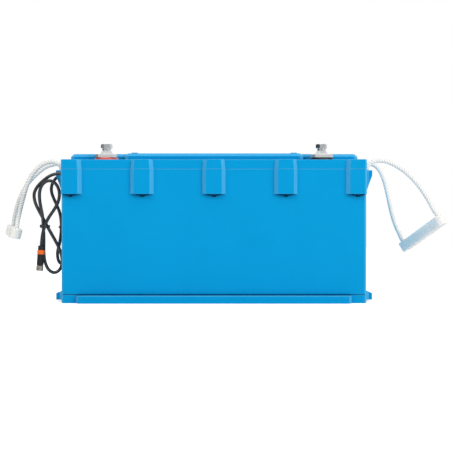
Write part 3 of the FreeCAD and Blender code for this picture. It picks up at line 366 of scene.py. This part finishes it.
# A grid of points, rows along and columns around, closed round and capped at both ends by a fan
def tubeMesh(name, grid, uvs, groove):
    rows, columns = grid.shape[:2]
    middles = np.array([grid[0].mean(axis=0), grid[-1].mean(axis=0)])
    points = np.concatenate([grid.reshape(-1, 3), middles])
    i, j = np.meshgrid(np.arange(rows - 1), np.arange(columns), indexing="ij")
    n = (j + 1) % columns
    quads = np.stack([i * columns + j, i * columns + n, (i + 1) * columns + n, (i + 1) * columns + j], -1)
    quads = quads.reshape(-1, 4)
    ring = np.arange(columns)
    after = (ring + 1) % columns
    startFan = np.stack([after, ring, np.full(columns, rows * columns)], -1)
    last = (rows - 1) * columns
    endFan = np.stack([last + ring, last + after, np.full(columns, rows * columns + 1)], -1)
    faces = [tuple(f) for f in quads.tolist()] + [tuple(f) for f in np.vstack([startFan, endFan]).tolist()]
    mesh = bpy.data.meshes.new(name)
    mesh.from_pydata(points.tolist(), [], faces)
    layer = mesh.uv_layers.new(name="turns")
    u = np.concatenate([uvs[..., 0].ravel(), [0.5, 0.5]])
    v = np.concatenate([uvs[..., 1].ravel(), [uvs[0, 0, 1], uvs[-1, 0, 1]]])
    loops = np.empty(len(mesh.loops), np.int32)
    mesh.loops.foreach_get("vertex_index", loops)
    layer.data.foreach_set("uv", np.column_stack([u[loops], v[loops]]).astype(np.float32).ravel())
    attribute = mesh.attributes.new("groove", "FLOAT", "POINT")
    attribute.data.foreach_set("value", np.concatenate([groove.ravel(), [0, 0]]).astype(np.float32))
    mesh.polygons.foreach_set("use_smooth", np.ones(len(mesh.polygons), bool))
    piece = bpy.data.objects.new(name, mesh)
    bpy.context.scene.collection.objects.link(piece)
    return piece


# How the cut ends of a cord draw in: by this share of the radius over the last millimetres
endTaper = 0.25
endTaperLength = 1.0


# Radius around a line: a circle with lobes that wind round it once per lay length
def laidTube(name, line, look):
    points, along = evenSteps(line, look["step"] / 1000)
    side, up = steadyNormals(points)
    around = np.linspace(0, 2 * np.pi, look["columns"], endpoint=False)
    phase = around[None, :] - 2 * np.pi * along[:, None] * 1000 / look["lay"]
    lobe = np.abs(np.cos(look["strands"] * phase / 2)) ** look["roundness"]
    radius = look["radius"] / 1000 * (1 - look["depth"] * (1 - lobe))
    ends = np.minimum(along, along[-1] - along) * 1000
    radius = radius * (1 - endTaper * np.clip(1 - ends / endTaperLength, 0, 1) ** 2)[:, None]
    ring = np.cos(around)[None, :, None] * side[:, None, :] + np.sin(around)[None, :, None] * up[:, None, :]
    grid = points[:, None, :] + radius[..., None] * ring
    uvs = np.stack([np.broadcast_to(phase / (2 * np.pi), radius.shape),
                    np.broadcast_to(along[:, None] * 100, radius.shape)], -1)
    return tubeMesh(name, grid, uvs, 1 - lobe)


cableLook = {"radius": 2.6, "strands": 2, "lay": 6.5, "depth": 0.03, "roundness": 1.0, "columns": 24,
             "step": 0.65}
ropeLook = {"radius": 3.6, "strands": 3, "lay": 13.5, "depth": 0.055, "roundness": 0.6, "columns": 40,
            "step": 0.5}


def cordLength(line):
    return float(np.linalg.norm(np.diff(line, axis=0), axis=1).sum())


# Cables
for end, route in cableRoutes.items():
    line = smoothLine(end + "Line", route)
    cable = laidTube(end + "SignalCable", line, cableLook)
    cable.data.materials.append(materials["blackPvc"])
    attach(cable, "battery")
    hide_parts(end + "_cable")
    print(end, "cable", round(cordLength(line) * 1000), "mm")

# Rope handles: where the rope starts and how it lies in the grip in millimetres, where it bends in metres
ropeStart = 204.3
gripSeat = -1.2
gripReach = 50.0
gripMouth = 13.25
for end, legs in ropeLegs.items():
    place = grips[end]
    middle, along, up = (np.array(place[k]) for k in ("middle", "along", "up"))
    along = along / np.linalg.norm(along)
    up = up - along * up.dot(along)
    up = up / np.linalg.norm(up)
    inside = [middle + along * gripReach + up * gripMouth, middle + along * gripReach + up * gripSeat,
              middle - along * gripReach + up * gripSeat, middle - along * gripReach + up * gripMouth]
    side = legs["front"][0][0]
    route = [(side, -52.0, ropeStart)] + legs["front"] + [tuple(p) for p in inside]
    route += legs["back"][::-1] + [(side, 52.0, ropeStart)]
    line = smoothLine(end + "RopeLine", route)
    rope = laidTube(end + "HandleRope", line, ropeLook)
    rope.data.materials.append(materials["laidPolyesterRope"])
    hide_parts(end + "_rope")
    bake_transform(rope)
    print(end, "rope", round(cordLength(line) * 1000), "mm")

# Which finish each carried-over node gets
finishes = {
    "blueAbs": ["case", "lid"],
    "naturalPolyethylene": ["left_grip", "right_grip"],
    "laidPolyesterRope": ["left_rope_knots", "right_rope_knots"],
    "redNylon": ["positive_collar"],
    "blackNylon": ["negative_collar", "front_cable_tie", "rear_cable_tie"],
    "blackPvc": ["inner_leads"],
    "blackTpu": ["front_plug_body", "rear_plug_body", "front_plug_contacts", "rear_plug_contacts"],
    "orangeTpe": ["front_plug_band"],
    "blueTpe": ["rear_plug_band"],
    "epdmRubber": ["lid_seal", "front_grommet", "rear_grommet"],
    "whitePolypropylene": ["carrier_tray", "cell_separators"],
    "closedCellFoam": ["base_pad"],
    "epoxyGlassBoard": ["balancing_board"],
    "epoxyParts": ["board_parts"],
    "tinPlatedCopper": ["positive_terminal", "negative_terminal", "positive_link", "negative_link",
                        "busbars"],
    "zincPlatedSteel": ["positive_bolt", "negative_bolt", "positive_spring_washer",
                        "negative_spring_washer", "busbar_nuts", "link_screws", "board_screws"],
    "blackZincSteel": ["lid_screws"],
    "nickelPlatedBrass": ["front_plug_nut", "rear_plug_nut"],
    "rolledAluminium": ["end_plates"] + [f"cell_{i}" for i in range(1, 9)],
    "brass": ["terminal_nuts"],
    "springSteelBand": ["compression_bands"],
}
for finish, names in finishes.items():
    for name in names:
        nodes[name].data.materials.clear()
        nodes[name].data.materials.append(materials[finish])
print("finishes set")

# Floor: pale, and white to the camera except where the object's shadow falls
studio = {"floorSize": 8.0, "floorColour": "#e6e8ea", "floorGlow": 0.6, "skyFront": 0.5, "skyBack": 0.82,
          "skyLeft": 0.05, "frontToBack": (-1.0, 0.6), "leftEdge": (-0.98, -0.85)}


def makeFloor():
    half = studio["floorSize"] / 2
    corners = [(-half, -half, 0), (half, -half, 0), (half, half, 0), (-half, half, 0)]
    mesh = bpy.data.meshes.new("studioFloor")
    mesh.from_pydata(corners, [], [(0, 1, 2, 3)])
    floor = bpy.data.objects.new("studioFloor", mesh)
    bpy.context.scene.collection.objects.link(floor)
    material = bpy.data.materials.new("paleStudioPaper")
    material.use_nodes = True
    tree = material.node_tree
    tree.nodes.clear()
    paper = addNode(tree, "ShaderNodeBsdfDiffuse", {"Color": linear(studio["floorColour"])})
    path = addNode(tree, "ShaderNodeLightPath")
    glow = addNode(tree, "ShaderNodeMath", {"operation": "MULTIPLY", 1: studio["floorGlow"]},
                   {0: path.outputs["Is Camera Ray"]})
    light = addNode(tree, "ShaderNodeEmission", None, {"Strength": glow.outputs["Value"]})
    both = addNode(tree, "ShaderNodeAddShader", None,
                   {0: paper.outputs["BSDF"], 1: light.outputs["Emission"]})
    addNode(tree, "ShaderNodeOutputMaterial", None, {"Surface": both.outputs["Shader"]})
    mesh.materials.append(material)


# World: white to the camera; for light and reflections dimmer in front than behind, dark at the far left
def makeWorld():
    world = bpy.data.worlds.new("studioWorld")
    bpy.context.scene.world = world
    world.use_nodes = True
    tree = world.node_tree
    tree.nodes.clear()
    place = addNode(tree, "ShaderNodeTexCoord")
    parts = addNode(tree, "ShaderNodeSeparateXYZ", None, {"Vector": place.outputs["Generated"]})
    depth = spread(tree, parts.outputs["Y"], studio["skyFront"], studio["skyBack"], *studio["frontToBack"])
    across = spread(tree, parts.outputs["X"], studio["skyLeft"], 1.0, *studio["leftEdge"])
    dimmed = addNode(tree, "ShaderNodeMath", {"operation": "MULTIPLY"}, {0: depth, 1: across})
    path = addNode(tree, "ShaderNodeLightPath")
    seen = addNode(tree, "ShaderNodeMath", {"operation": "MAXIMUM"},
                   {0: path.outputs["Is Camera Ray"], 1: dimmed.outputs["Value"]})
    sky = addNode(tree, "ShaderNodeBackground", {"Color": (1, 1, 1, 1)}, {"Strength": seen.outputs["Value"]})
    addNode(tree, "ShaderNodeOutputWorld", None, {"Surface": sky.outputs["Background"]})


lamps = {
    "keySoftbox": {"at": (-0.9, -1.6, 1.7), "to": (0, 0, 0.12), "size": (1.4, 0.4), "power": 11},
    "sideSoftbox": {"at": (2.6, -2.6, 1.6), "to": (0, 0, 0.12), "size": (1.0, 1.6), "power": 48},
    "topSoftbox": {"at": (0.0, 0.5, 2.0), "to": (0, 0, 0.1), "size": (1.6, 1.2), "power": 7},
}


def makeLamps():
    for name, lamp in lamps.items():
        data = bpy.data.lights.new(name, "AREA")
        data.shape = "RECTANGLE"
        data.size, data.size_y = lamp["size"]
        data.energy = lamp["power"]
        holder = bpy.data.objects.new(name, data)
        holder.location = lamp["at"]
        aim = np.array(lamp["to"], float) - np.array(lamp["at"], float)
        yaw = math.atan2(aim[0], -aim[1])
        pitch = math.acos(-aim[2] / np.linalg.norm(aim))
        holder.rotation_euler = (pitch, 0, yaw + math.pi)
        bpy.context.scene.collection.objects.link(holder)


# Camera: level, fitted to the photograph's frame of 452 by 452
cameraFit = {"place": (0.01893, -1.648, 0.1203), "lens": 79.24, "sensor": 36.0}


def makeCamera():
    data = bpy.data.cameras.new("studioCamera")
    data.sensor_width = cameraFit["sensor"]
    data.lens = cameraFit["lens"]
    data.clip_start = 0.1
    data.clip_end = 50
    camera = bpy.data.objects.new("studioCamera", data)
    camera.location = cameraFit["place"]
    camera.rotation_euler = (math.pi / 2, 0, 0)
    bpy.context.scene.collection.objects.link(camera)
    bpy.context.scene.camera = camera


makeFloor()
makeWorld()
makeLamps()
makeCamera()
bpy.context.scene.view_settings.view_transform = "Standard"
print("stage, lamps and camera set")
